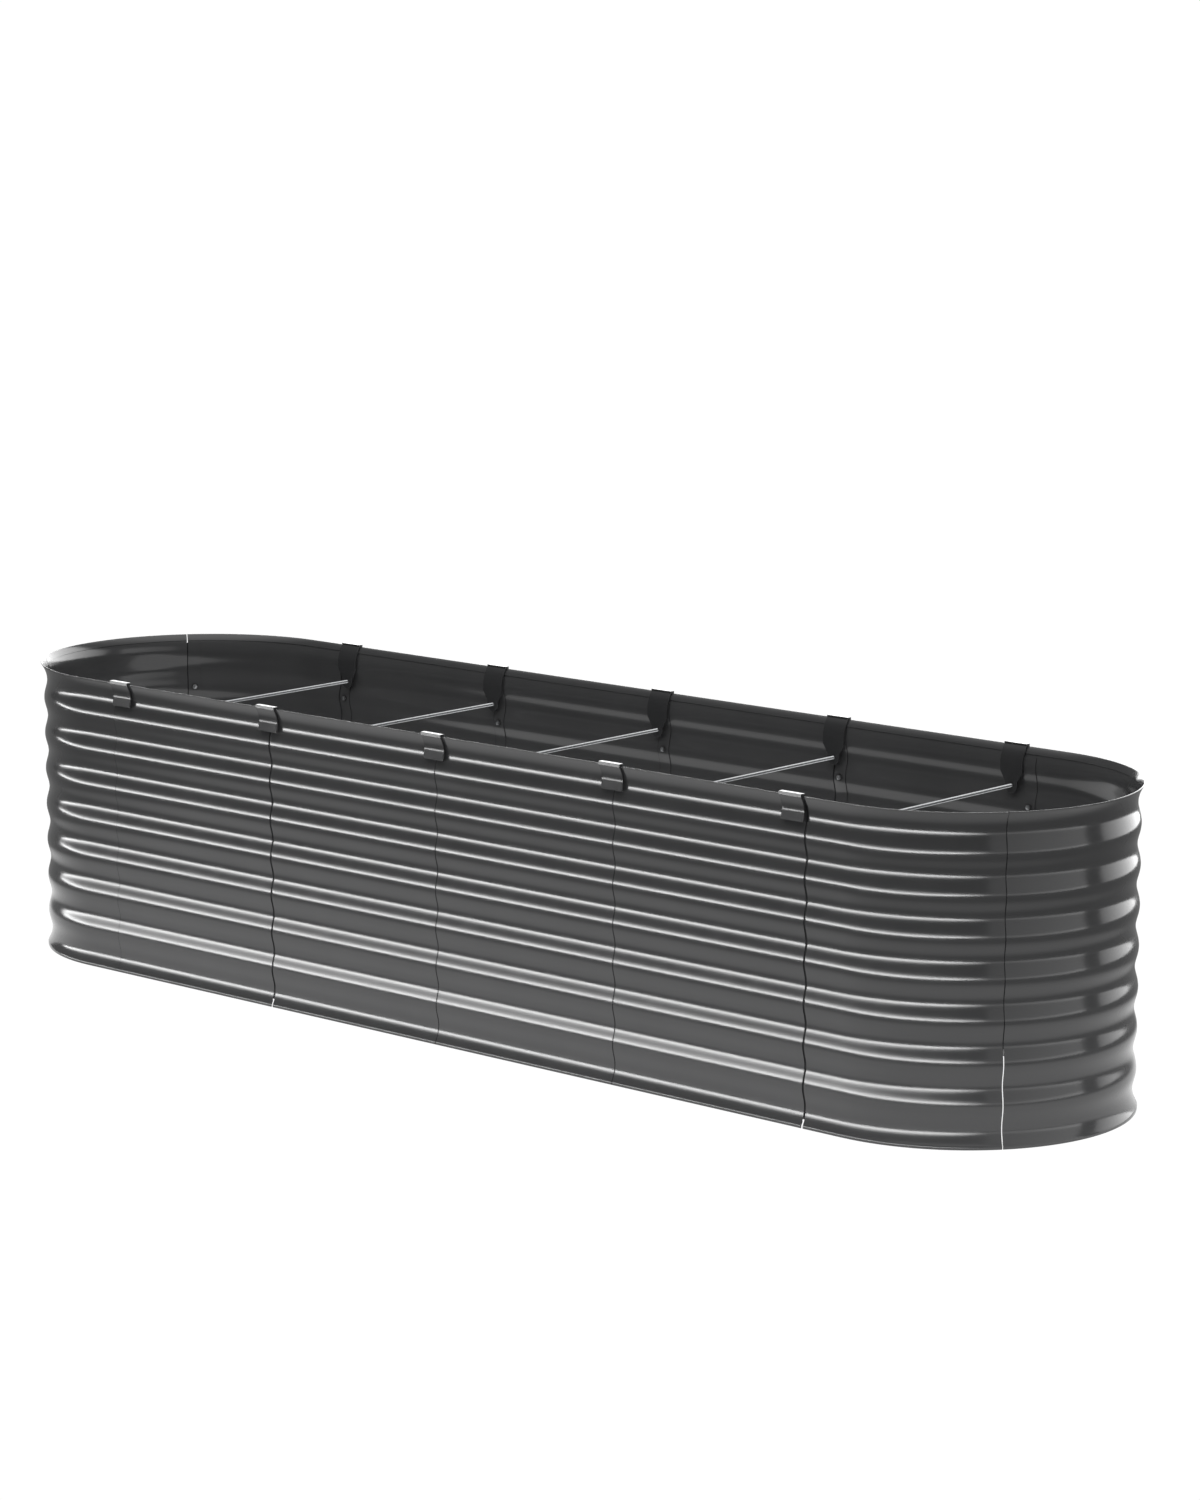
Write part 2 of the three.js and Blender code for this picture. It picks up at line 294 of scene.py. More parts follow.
def hand_over(piece: Piece, node: str | None = None) -> None:
    """Make a piece ride with the bed, in the place of a CAD node if one is named.

    Args:
        piece: The finished piece.
        node: The CAD node that it stands for.
    """
    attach(piece, BODY)
    if node:
        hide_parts(node)
    LOG.info("%s: %d faces", piece.name, len(piece.data.polygons))


class NodeBench:
    """The nodes of a material or a world, with short ways to add and join them."""

    noise_middle: Pair = (0.3, 0.7)

    def __init__(self, owner: Material | bpy.types.World) -> None:
        """Clear the owner's nodes and keep it for the new ones.

        Args:
            owner: The material or the world.
        """
        owner.use_nodes = True
        self.owner = owner
        self.tree = owner.node_tree
        self.tree.nodes.clear()
        self.place = self.add("ShaderNodeTexCoord").outputs

    def add(self, kind: str, **values: object) -> bpy.types.Node:
        """Add a node.

        Args:
            kind: The node's type.
            values: What its inputs are set to or joined to, by name with _ for spaces, or its
                own settings.

        Returns:
            The node.
        """
        node = self.tree.nodes.new(kind)
        sockets = {socket.identifier.lower().replace(" ", "_"): socket for socket in node.inputs}
        for key, value in values.items():
            if key not in sockets:
                setattr(node, key, value)
            elif isinstance(value, Socket):
                self.tree.links.new(value, sockets[key])
            else:
                sockets[key].default_value = value
        return node

    def noise(self, scale: float, detail: float = 2.0) -> Socket:
        """Noise over the object's own space, in grains per metre and finer octaves."""
        return self.add("ShaderNodeTexNoise", vector=self.place["Object"], scale=scale,
                        detail=detail).outputs["Fac"]

    def spread(self, value: Socket, middle: float, reach: float) -> Socket:
        """Spread the middle of a noise by a reach to either side of a value."""
        low, high = self.noise_middle
        return self.add("ShaderNodeMapRange", value=value, from_min=low, from_max=high,
                        to_min=middle - reach, to_max=middle + reach).outputs["Result"]

    def ramp(self, value: Socket, stops: list[tuple[float, Triple]]) -> Socket:
        """Turn a value into a colour.

        Args:
            value: Where on the ramp, 0 to 1.
            stops: Each stop's place and colour.

        Returns:
            The colour.
        """
        node = self.add("ShaderNodeValToRGB", fac=value)
        elements = node.color_ramp.elements
        while len(elements) < len(stops):
            elements.new(0.5)
        for element, (position, colour) in zip(elements, stops):
            element.position = position
            element.color = (*colour, 1.0)
        return node.outputs["Color"]

    def tint(self, scale: float, detail: float, dark: Triple, light: Triple) -> Socket:
        """A colour mottled by a noise, from the noise's low end to its high end."""
        low, high = self.noise_middle
        return self.ramp(self.noise(scale, detail), [(low, dark), (high, light)])

    def bump(self, scale: float, detail: float, strength: float, depth: float,
             **below: Socket) -> Socket:
        """The normal of a surface roughened by a noise, depth in metres, over a coarser one."""
        return self.add("ShaderNodeBump", height=self.noise(scale, detail), strength=strength,
                        distance=depth, **below).outputs["Normal"]

    def fade(self, value: Socket, span: Pair, ends: Pair) -> Socket:
        """Fade softly from one end value to the other, over a span of what is followed."""
        return self.add("ShaderNodeMapRange", interpolation_type="SMOOTHSTEP", value=value,
                        from_min=span[0], from_max=span[1], to_min=ends[0],
                        to_max=ends[1]).outputs["Result"]

    def maths(self, kind: str, value: Socket, other: float) -> Socket:
        """Reckon with a value and a number."""
        return self.add("ShaderNodeMath", operation=kind, value=value,
                        value_001=other).outputs["Value"]

    def to_eye(self, unseen: Socket, seen: float) -> Socket:
        """A value for rays that leave the camera, and another one for all other rays."""
        eye = self.add("ShaderNodeLightPath").outputs["Is Camera Ray"]
        return self.add("ShaderNodeMix", factor_float=eye, a_float=unseen,
                        b_float=seen).outputs["Result"]

    def shade(self, kind: str, **values: object) -> Material:
        """Give the material its shader, with its inputs as in add."""
        self.add("ShaderNodeOutputMaterial", surface=self.add(kind, **values).outputs[0])
        return self.owner


@dataclass(frozen=True)
class CoatedSteel:
    """Semi-gloss coating on steel: fine orange peel, slight mottling of colour and gloss."""

    name: str
    dark: Triple
    light: Triple
    roughness: float
    specular: float = 0.5
    gloss_spread: float = 0.015
    mottle_scale: float = 7.0
    gloss_scale: float = 31.0
    peel_scale: float = 420.0
    peel_depth: float = 0.000004
    wave_scale: float = 5.0
    wave_depth: float = 0.0001

    def material(self) -> Material:
        """Build the coating."""
        bench = NodeBench(bpy.data.materials.new(self.name))
        gloss = bench.noise(self.gloss_scale, 3.0)
        wave = bench.bump(self.wave_scale, 1.0, 0.25, self.wave_depth)
        return bench.shade(
            "ShaderNodeBsdfPrincipled",
            base_color=bench.tint(self.mottle_scale, 4.0, self.dark, self.light),
            roughness=bench.spread(gloss, self.roughness, self.gloss_spread),
            normal=bench.bump(self.peel_scale, 2.0, 0.5, self.peel_depth, normal=wave),
            ior=1.52,
            specular_ior_level=self.specular,
        )


@dataclass(frozen=True)
class BrightZinc:
    """Bright zinc plating with faint spangle."""

    name: str = "bright_zinc"
    dark: Triple = (0.40, 0.41, 0.42)
    light: Triple = (0.56, 0.57, 0.58)
    roughness: float = 0.34
    gloss_spread: float = 0.07
    spangle_scale: float = 260.0
    gloss_scale: float = 90.0
    grain_scale: float = 900.0
    grain_depth: float = 0.00001

    def material(self) -> Material:
        """Build the plating."""
        bench = NodeBench(bpy.data.materials.new(self.name))
        gloss = bench.noise(self.gloss_scale)
        return bench.shade(
            "ShaderNodeBsdfPrincipled",
            base_color=bench.tint(self.spangle_scale, 3.0, self.dark, self.light),
            roughness=bench.spread(gloss, self.roughness, self.gloss_spread),
            normal=bench.bump(self.grain_scale, 2.0, 0.4, self.grain_depth),
            metallic=1.0,
        )


@dataclass(frozen=True)
class BlackRubber:
    """Matt black rubber of the sealing washers."""

    name: str = "washer_rubber"
    dark: Triple = (0.012, 0.012, 0.012)
    light: Triple = (0.03, 0.03, 0.031)
    roughness: float = 0.7
    gloss_spread: float = 0.1
    bloom_scale: float = 140.0
    grain_scale: float = 1500.0
    grain_depth: float = 0.00002

    def material(self) -> Material:
        """Build the rubber."""
        bench = NodeBench(bpy.data.materials.new(self.name))
        bloom = bench.noise(self.bloom_scale, 4.0)
        return bench.shade(
            "ShaderNodeBsdfPrincipled",
            base_color=bench.tint(self.bloom_scale, 4.0, self.dark, self.light),
            roughness=bench.spread(bloom, self.roughness, self.gloss_spread),
            normal=bench.bump(self.grain_scale, 2.0, 0.4, self.grain_depth),
        )


@dataclass(frozen=True)
class Plan:
    """The bed seen from above, in millimetres."""

    straight: float = 1830.0
    crest_radius: float = 299.0
    corner_stub: float = 85.0
    side_panels: int = 4
    end_seam: float = 52.0
    hook_width: float = 47.0

    @property
    def half(self) -> float:
        """Half the straight length, where the round ends begin."""
        return self.straight / 2

    @property
    def side_pitch(self) -> float:
        """Length of one side panel."""
        return (self.straight - 2 * self.corner_stub) / self.side_panels

    @property
    def first_seam(self) -> float:
        """X of the leftmost side seam."""
        return -self.side_panels * self.side_pitch / 2

    def tie_places(self) -> list[float]:
        """X of the five pairs of hooks."""
        last = -self.first_seam - self.hook_width / 2
        inner = [(i - self.side_panels / 2) * self.side_pitch for i in range(1, self.side_panels)]
        return [-last, *inner, last]

    def round_end(self, degrees: float) -> Matrix:
        """Turn about the right end's centre."""
        centre = shift(self.half)
        return centre @ Matrix.Rotation(math.radians(degrees), 4, "Z") @ centre.inverted()

    def outwards(self, place: Vector) -> Vector:
        """Outward direction at a place on the right half of the wall."""
        middle = Vector((min(max(place.x, -self.half * MM), self.half * MM), 0.0, 0.0))
        return (Vector((place.x, place.y, 0.0)) - middle).normalized()


@dataclass(frozen=True)
class SheetSection:
    """Section of the ribbed sheet with its flared lip, splayed foot and folded hems."""

    height: float = 552.0
    pitch: float = 69.0
    depth: float = 6.2
    rim_flare: float = 5.0
    foot_flare: float = 2.6
    foot_flat: float = 4.5
    foot_steps: int = 12
    hem: float = 2.0
    hem_height: float = 12.0
    wave_steps: int = 16
    lip_steps: int = 9
    fold_steps: int = 8
    rim_leg_steps: int = 4
    foot_leg_steps: int = 3
    lip_slope: float = 0.67
    lip_rounds: int = 12

    @property
    def lip_foot(self) -> float:
        """Height at which the lip leaves the highest valley."""
        return self.height - self.pitch / 2

    @property
    def rod_height(self) -> float:
        """Height of the tie rods, at the crest of the highest full rib."""
        return self.height - self.pitch

    @property
    def fold_radius(self) -> float:
        """Outer radius of the folded hems."""
        return self.hem / 2

    @property
    def rim_fold(self) -> Vector:
        """Centre of the rim's fold, in (out, z)."""
        return Vector((self.rim_flare - self.fold_radius, self.height - self.fold_radius))

    def lip_end(self) -> tuple[Vector, Vector]:
        """Where the lip runs into the rim's fold, found from a first slope in a few rounds.

        Returns:
            The point and the outward normal there, both in (out, z).
        """
        slope = self.lip_slope
        for _ in range(self.lip_rounds):
            normal = Vector((1.0, -slope)).normalized()
            end = self.rim_fold + normal * self.fold_radius
            slope = 2 * (end.x + self.depth) / (end.y - self.lip_foot)
        return end, normal

    def flare(self, z: float, base: float, end: Vector, inset: float) -> Vector:
        """Point of a flare that leaves a valley in a parabola, moved inwards by an inset.

        Args:
            z: The point's height before it is moved.
            base: Height of the valley.
            end: Where the flare ends, in (out, z).
            inset: How far the point is moved, square to the flare.

        Returns:
            The point, in (out, z).
        """
        rise = end.y - base
        climb = (z - base) / rise
        reach = end.x + self.depth
        normal = Vector((1.0, -2 * reach * climb / rise)).normalized()
        return Vector((reach * climb * climb - self.depth, z)) - normal * inset

    def lip(self, z: float, inset: float = 0.0) -> Vector:
        """Point of the lip at a height, moved inwards by an inset."""
        return self.flare(z, self.lip_foot, self.lip_end()[0], inset)

    def foot(self, z: float, inset: float = 0.0) -> Vector:
        """Point of the splayed foot at a height, moved inwards by an inset."""
        return self.flare(z, self.pitch / 2, Vector((self.foot_flare, self.foot_flat)), inset)

    def fold(self, centre: Vector, start: float) -> list[Vector]:
        """Half a turn round a hem's fold from a start in radians, without its first point."""
        turns = spaced(start, start + math.pi, self.fold_steps)[1:]
        return [centre + Vector((math.cos(t), math.sin(t))) * self.fold_radius for t in turns]

    def foot_points(self) -> list[Vector]:
        """Outer face from just above the foot's fold up to the lowest valley."""
        low = Vector((self.foot_flare, self.fold_radius))
        high = Vector((self.foot_flare, self.foot_flat - self.fold_radius))
        rows = spaced(self.foot_flat, self.pitch / 2, self.foot_steps)
        return [low, high, *(self.foot(z) for z in rows)]

    def wave_points(self) -> list[Vector]:
        """Outer face from the lowest valley up to the highest one."""
        points = []
        low = self.pitch / 2
        count = round((self.lip_foot - low) / self.pitch * self.wave_steps)
        for z in spaced(low, self.lip_foot, count)[1:]:
            turn = 2 * math.pi * (self.height - z) / self.pitch
            points.append(Vector((-self.depth / 2 * (1 - math.cos(turn)), z)))
        return points

    def lip_points(self) -> list[Vector]:
        """Outer face from the highest valley up to the rim's fold."""
        end, _ = self.lip_end()
        return [*(self.lip(z) for z in spaced(self.lip_foot, end.y, self.lip_steps)[1:-1]), end]

    def rim_fold_points(self) -> list[Vector]:
        """Round the rim's fold and down its inner leg."""
        end, normal = self.lip_end()
        points = self.fold(self.rim_fold, math.atan2(normal.y, normal.x))
        rows = spaced(end.y, end.y - self.hem_height + self.fold_radius, self.rim_leg_steps)[1:]
        return points + [self.lip(z, self.hem) for z in rows]

    def foot_fold_points(self) -> list[Vector]:
        """Inner leg of the foot's fold, down and round to its outer face."""
        middle = Vector((self.foot_flare - self.fold_radius, self.fold_radius))
        rows = spaced(self.hem_height, self.foot_flat, self.foot_leg_steps)[:-1]
        points = [self.foot(z, self.hem) for z in rows]
        for z in (self.foot_flat - self.fold_radius, self.fold_radius):
            points.append(Vector((self.foot_flare - self.hem, z)))
        return points + self.fold(middle, math.pi)[:-1]

    def points(self) -> list[Vector]:
        """The whole outer face, from the foot's inner leg to the rim's inner leg."""
        return [
            *self.foot_fold_points(),
            *self.foot_points(),
            *self.wave_points(),
            *self.lip_points(),
            *self.rim_fold_points(),
        ]


@dataclass(frozen=True)
class Seam:
    """How a panel starts at its seam, in millimetres.

    `joggle` is the step's length, `painted_shade` the width of a strip beside it painted dark as the
    seam gap's shade, `low` the height above which the lap starts.
    """

    joggle: float
    painted_shade: float = 0.0
    low: float = 13.5


@dataclass
class PanelRing:
    """The fourteen lapped panels of the wall."""

    plan: Plan
    section: SheetSection
    sheet: float = 0.8
    lap: float = 25.0
    lap_gap: float = 0.4
    lap_high: float = 538.5
    tight: Seam = Seam(joggle=0.3)
    close: Seam = Seam(joggle=0.3, painted_shade=1.9)
    open: Seam = Seam(joggle=4.0)
    end: Seam = Seam(joggle=1.6, low=163.0)
    support: float = 2.0
    arc_step: float = 3.0
    edge_bevel: float = 0.12
    finish: CoatedSteel = CoatedSteel("sheet_coating", (0.063, 0.0635, 0.065),
                                      (0.071, 0.0715, 0.073), 0.155)
    # Near-black, low-gloss coating for the cut edges, the joggles and a strip beside some seams: partly
    # the edges' own coating, mostly painted shade of the seam gaps.
    edge: CoatedSteel = CoatedSteel("edge_coating", (0.008, 0.008, 0.009),
                                    (0.013, 0.013, 0.014), 0.5, specular=0.12)
    sheet_material: Material = field(init=False)
    edge_material: Material = field(init=False)

    def __post_init__(self) -> None:
        """Build the sheet's coating and the near-black one that paints the seam shade."""
        self.sheet_material = self.finish.material()
        self.edge_material = self.edge.material()

    @property
    def inset(self) -> float:
        """How far a lap lies behind its neighbour's outer face."""
        return self.sheet + self.lap_gap

    @property
    def joggle_turn(self) -> float:
        """The joggle's length as an angle on a round end, in degrees."""
        return math.degrees(self.end.joggle / self.plan.crest_radius)

    def start(self, name: str, x: float, seam: Seam) -> Piece:
        """Begin a panel on the front side: its section, and the joggle and lap behind its edge.

        Args:
            name: The new piece's name.
            x: Where the panel's own face begins, in millimetres.
            seam: How it begins there.

        Returns:
            The piece, with its section selected, ready to be swept to the right.
        """
        radius = self.plan.crest_radius
        points = [Vector((x, -radius - p.x, p.y)) * MM for p in self.section.points()]
        piece = draw_line(name, points)
        pick(piece, lambda v: seam.low < v.z / MM < self.lap_high)
        pull(Vector((-seam.joggle, self.inset, 0)) * MM)
        if seam is self.end:
            self.curve(-math.degrees(self.lap / radius))
        else:
            pull(Vector((-self.lap, 0, 0)) * MM)
        pick(piece, lambda v: at(v.x, x))
        return piece

    def run(self, direction: Vector, distance: float, first: float = 0.0) -> None:
        """Sweep the selected line straight on, with a support line near each end.

        Args:
            direction: Which way.
            distance: How far, in millimetres.
            first: Where the first support line lies, if not at its usual place.
        """
        first = first or self.support
        for part in (first, distance - first - self.support, self.support):
            pull(direction * part * MM)

    def curve(self, degrees: float) -> None:
        """Sweep the selected line round the right end's centre, anticlockwise from above."""
        steps = max(1, round(abs(degrees) / self.arc_step))
        bpy.ops.mesh.spin(steps=steps, angle=-math.radians(degrees), axis=(0.0, 0.0, 1.0),
                          center=(self.plan.half * MM, 0.0, 0.0), dupli=False)

    def finish_panel(self, piece: Piece, x: float, seam: Seam) -> Piece:
        """Give a swept sheet its thickness, broken edges, shading and finish.

        Args:
            piece: The sheet's outer face.
            x: Where the panel's own face begins, in millimetres.
            seam: How the panel starts there.

        Returns:
            The finished panel.
        """
        clean_normals(piece, self.plan.outwards)
        piece.data.materials.append(self.sheet_material)
        piece.data.materials.append(self.edge_material)
        # The joggle and the strip beside it get the near-black coating as painted shade of the seam gap;
        # the cut edges get it through the rim offset below.
        if seam is not self.tight:
            for face in piece.data.polygons:
                if x - seam.joggle < face.center.x / MM < x + seam.painted_shade and face.center.y < 0:
                    face.material_index = 1
        apply_modifier(piece, "SOLIDIFY", thickness=self.sheet * MM, offset=-1.0,
                       use_even_offset=True, material_offset_rim=1)
        round_edges(piece, self.edge_bevel, 60, segments=1)
        smooth(piece, 30)
        return piece

    def side_panel(self, seam: Seam) -> Piece:
        """A straight panel whose seam lies at X = 0.

        Args:
            seam: How the panel starts there.

        Returns:
            The finished panel.
        """
        piece = self.start("side_panel", seam.joggle, seam)
        self.run(Vector((1, 0, 0)), self.plan.side_pitch - seam.joggle, seam.painted_shade)
        return self.finish_panel(piece, seam.joggle, seam)

    def front_corner(self) -> Piece:
        """The panel that leads from the front side into the right end."""
        x = self.open.joggle - self.plan.first_seam
        piece = self.start("front_corner", x, self.open)
        self.run(Vector((1, 0, 0)), self.plan.corner_stub - self.open.joggle)
        self.curve(self.plan.end_seam)
        return self.finish_panel(piece, x, self.open)

    def end_panel(self) -> Piece:
        """The panel at the tip of the right end."""
        piece = self.start("end_panel", self.plan.half, self.end)
        self.curve(180 - 2 * self.plan.end_seam - self.joggle_turn)
        self.finish_panel(piece, self.plan.half, self.end)
        piece.data.transform(self.plan.round_end(self.plan.end_seam + self.joggle_turn))
        return piece

    def back_corner(self) -> Piece:
        """The panel that leads from the right end into the back side."""
        piece = self.start("back_corner", self.plan.half, self.end)
        sweep = self.plan.end_seam - self.joggle_turn
        self.curve(sweep)
        turn = math.radians(sweep)
        self.run(Vector((math.cos(turn), math.sin(turn), 0)), self.plan.corner_stub)
        self.finish_panel(piece, self.plan.half, self.end)
        piece.data.transform(self.plan.round_end(180 - sweep))
        return piece

    def build(self) -> None:
        """Build all fourteen panels in their places."""
        seams = (self.tight, self.open, self.close, self.close)
        straight = [self.side_panel(seam) for seam in seams]
        corner = self.front_corner()
        tip = self.end_panel()
        back = self.back_corner()
        for side, end, corners in (
            (Side.FRONT, "right", ("right_front_corner", "right_back_corner")),
            (Side.BACK, "left", ("left_back_corner", "left_front_corner")),
        ):
            for i, panel in enumerate(straight):
                x = self.plan.first_seam + i * self.plan.side_pitch
                self.place(panel, f"{side.value}_panel_{i + 1}", side.turn @ shift(x))
            self.place(corner, corners[0], side.turn)
            self.place(tip, f"{end}_end_panel", side.turn)
            self.place(back, corners[1], side.turn)
        discard(*straight, corner, tip, back)

    def place(self, pattern: Piece, node: str, where: Matrix) -> None:
        """Put a copy of a pattern panel where a CAD panel is."""
        hand_over(copy_of(pattern, f"{node}_sheet", where), node)


@dataclass
class StrapHooks:
    """The ten strap hooks that grip the rim over the side panels."""

    plan: Plan
    section: SheetSection
    thickness: float = 3.5
    gap: float = 0.4
    drop: float = 44.0
    bend_drop: float = 27.0
    bend_share: float = 0.14
    bend_shift: float = 0.05
    standoff: float = 2.7
    kick: float = 3.5
    outer_top_drop: float = 0.5
    inner_top_drop: float = 0.8
    outer_steps: int = 8
    row_drops: tuple[float, ...] = (4.0, 8.0, 12.0, 17.0, 22.0, 28.0)
    lean: float = 0.2
    shoulder_drop: float = 45.0
    tongue: float = 26.0
    tongue_face: float = -8.6
    tongue_turns: tuple[float, ...] = (20.0, 40.0, 58.0, 74.0, 85.0)
    tongue_slack: float = 0.21
    core: float = 3.4
    hole: float = 6.6
    drill_length: float = 20.0
    corner_round: float = 1.6
    edge_round: float = 0.45
    finish: CoatedSteel = CoatedSteel("strap_coating", (0.036, 0.0365, 0.038),
                                      (0.044, 0.0445, 0.046), 0.24)

    @property
    def shoulder(self) -> float:
        """Height at which the leg inside the bed narrows to the tongue."""
        return self.section.height - self.shoulder_drop

    def outer_leg(self) -> list[Vector]:
        """Inner face of the outer leg, from its kicked-out end up to the top bend."""
        height = self.section.height
        bend = Vector((-self.section.depth + self.standoff, height - self.bend_drop))
        end = Vector((bend.x + self.kick, height - self.drop))
        top = self.leg_top()
        points = [end, bend + (end - bend) * self.bend_share, bend + Vector((self.bend_shift, 0.0))]
        for share in spaced(0.0, 1.0, self.outer_steps)[1:]:
            z = bend.y + (top.y - bend.y) * share
            points.append(Vector((bend.x + (top.x - bend.x) * share * share, z)))
        return points

    def leg_top(self) -> Vector:
        """Where the outer leg's inner face turns upright beside the rim's fold."""
        return Vector((self.section.rim_flare + self.gap, self.section.height - self.outer_top_drop))

    def top_corners(self) -> list[Vector]:
        """Inner face of the bends at the flat top, and of the short upright inside the bed."""
        top = self.section.height + self.gap
        inside = self.section.rim_flare - self.section.hem - self.gap
        low = self.section.height - self.inner_top_drop
        return [Vector((self.leg_top().x, top)), Vector((inside, top)), Vector((inside, low))]

    def inner_leg(self) -> list[Vector]:
        """Inner face of the leg inside the bed, down to the end of the tongue."""
        height = self.section.height
        base = self.section.lip_foot
        points = []
        for drop in self.row_drops:
            z = height - drop
            climb = (z - base) / (height - base)
            stand = self.section.hem + self.gap + self.lean * climb
            points.append(Vector((self.section.lip(z).x - stand, z)))
        centre = self.section.rod_height
        half = self.tongue / 2
        rows = [base, self.shoulder, centre + half / 2, centre]
        rows += [centre - half * math.sin(math.radians(turn)) for turn in self.tongue_turns]
        return points + [Vector((self.tongue_face, z)) for z in rows]

    def row_width(self, z: float) -> float:
        """Half the strap's width on the leg inside the bed.

        Args:
            z: Height on the leg.

        Returns:
            Half the width there.
        """
        if z >= self.shoulder - HAIR:
            return self.plan.hook_width / 2
        below = max(self.section.rod_height - z, 0.0)
        return math.sqrt(max((self.tongue / 2) ** 2 - below**2, HAIR))

    def pattern(self) -> Piece:
        """One hook over X = 0 on the front side."""
        radius = self.plan.crest_radius
        half = self.plan.hook_width / 2
        line = [*self.outer_leg(), *self.top_corners(), *self.inner_leg()]
        hook = draw_line("hook", [Vector((-half, -radius - p.x, p.y)) * MM for p in line])
        pick(hook, lambda v: True)
        pull(Vector((2 * half * MM, 0, 0)))
        inside = -radius - self.tongue_face - self.tongue_slack
        for z in sorted({round(p.y, 4) for p in self.inner_leg()}):
            share = self.row_width(z) / half
            if share < 1:
                pick(hook, lambda v, z=z: at(v.z, z, 2 * HAIR) and v.y / MM > inside)
                widen(share, 1)
        pick(hook, lambda v: at(v.z, self.section.height - self.drop))
        bpy.ops.mesh.bevel(offset=self.corner_round * MM, segments=4, affect="VERTICES")
        clean_normals(hook, self.away_from_sheet)
        hook.data.materials.append(self.finish.material())
        apply_modifier(hook, "SOLIDIFY", thickness=self.thickness * MM, offset=1.0,
                       use_even_offset=True)
        middle = (0, -(radius + self.tongue_face), self.section.rod_height)
        carve(hook, cylinder(self.hole / 2, self.drill_length, 32, middle, (math.pi / 2, 0, 0)))
        round_edges(hook, self.edge_round, 45)
        smooth(hook, 20)
        return hook

    def away_from_sheet(self, place: Vector) -> Vector:
        """Direction from just inside the rim's fold to a place on the hook.

        Args:
            place: The place on the hook.

        Returns:
            The direction, of any length.
        """
        fold = self.section.rim_fold
        y = -self.plan.crest_radius - fold.x + self.core
        return place - Vector((place.x, y * MM, min(place.z, fold.y * MM)))

    def build(self) -> None:
        """Build the ten hooks in their places."""
        hook = self.pattern()
        for side in Side:
            for i, x in enumerate(self.plan.tie_places()):
                node = f"{side.value}_hook_{i + 1}"
                place = shift(x) @ side.turn
                hand_over(copy_of(hook, f"{node}_strap", place), node)
        discard(hook)


